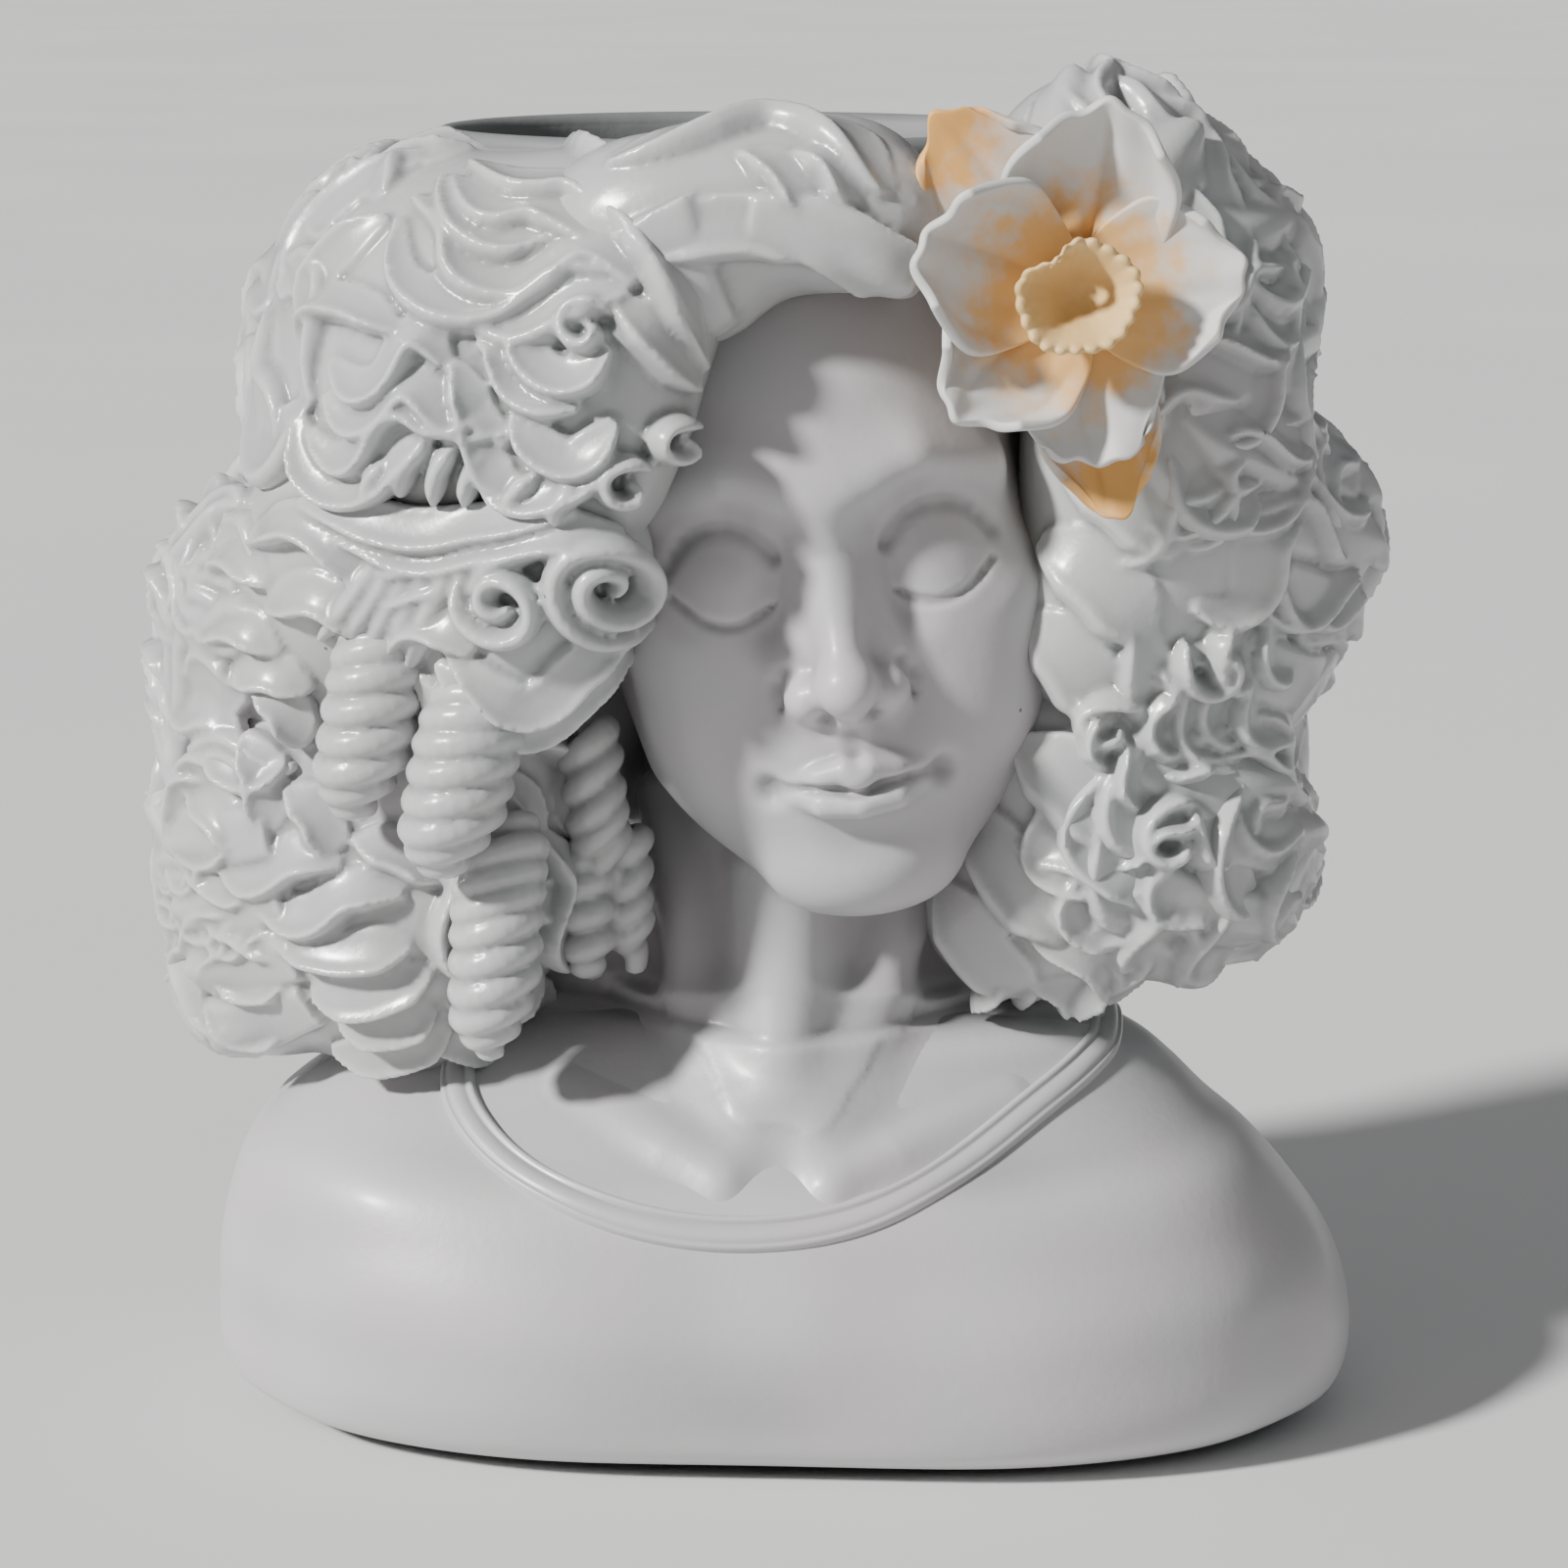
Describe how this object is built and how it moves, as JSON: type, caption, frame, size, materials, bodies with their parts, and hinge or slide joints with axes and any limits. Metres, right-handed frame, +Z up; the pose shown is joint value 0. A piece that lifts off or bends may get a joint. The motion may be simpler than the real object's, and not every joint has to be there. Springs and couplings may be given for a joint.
{
  "type": "head planter bust",
  "caption": "Cast bust with a planting cup in its curly hair, a flower at the temple, a T-shirt torso hollow from below and a drain plug.",
  "frame": {"origin": "centre of the bounding box's bottom face, on the surface the bust stands on", "axes": "+Z up; the face looks towards -Y; +X is the flower's side"},
  "size_m": [0.1997, 0.1271, 0.219],
  "materials": {
    "skin_cast": "satin painted resin",
    "hair_cast": "semi-gloss painted resin",
    "cup_cast": "matte resin",
    "petal_paint": "matte white paint, brushed orange at the base",
    "corona_paint": "matte cream yellow paint",
    "rubber_black": "matte"
  },
  "bodies": {
    "bust": {"shoulders": "skin_cast", "neckline_band": "skin_cast", "neck": "skin_cast", "face": "skin_cast", "planter_cup": "cup_cast", "hair_crown_left": "hair_cast", "hair_side_left": "hair_cast", "hair_lower_left": "hair_cast", "hair_back": "hair_cast", "hair_crest_right": "hair_cast", "hair_side_right": "hair_cast", "hair_lower_right": "hair_cast", "forelock": "hair_cast", "ringlet_outer": "hair_cast", "ringlet_front": "hair_cast", "ringlet_lower": "hair_cast", "ringlet_inner": "hair_cast", "petal_top": "petal_paint", "petal_right": "petal_paint", "petal_low": "petal_paint", "petal_low_left": "petal_paint", "petal_left": "petal_paint", "corona": "corona_paint", "leaf_top": "petal_paint", "leaf_low": "petal_paint", "flower_base": "petal_paint", "foot_pads": "rubber_black"},
    "plug": {"drain_plug": "rubber_black"}
  },
  "joints": [
    {"name": "plug_pull", "type": "slide", "parent": "bust", "child": "plug", "axis": [0, 0, -1], "range_m": [0, 0.03]}
  ]
}
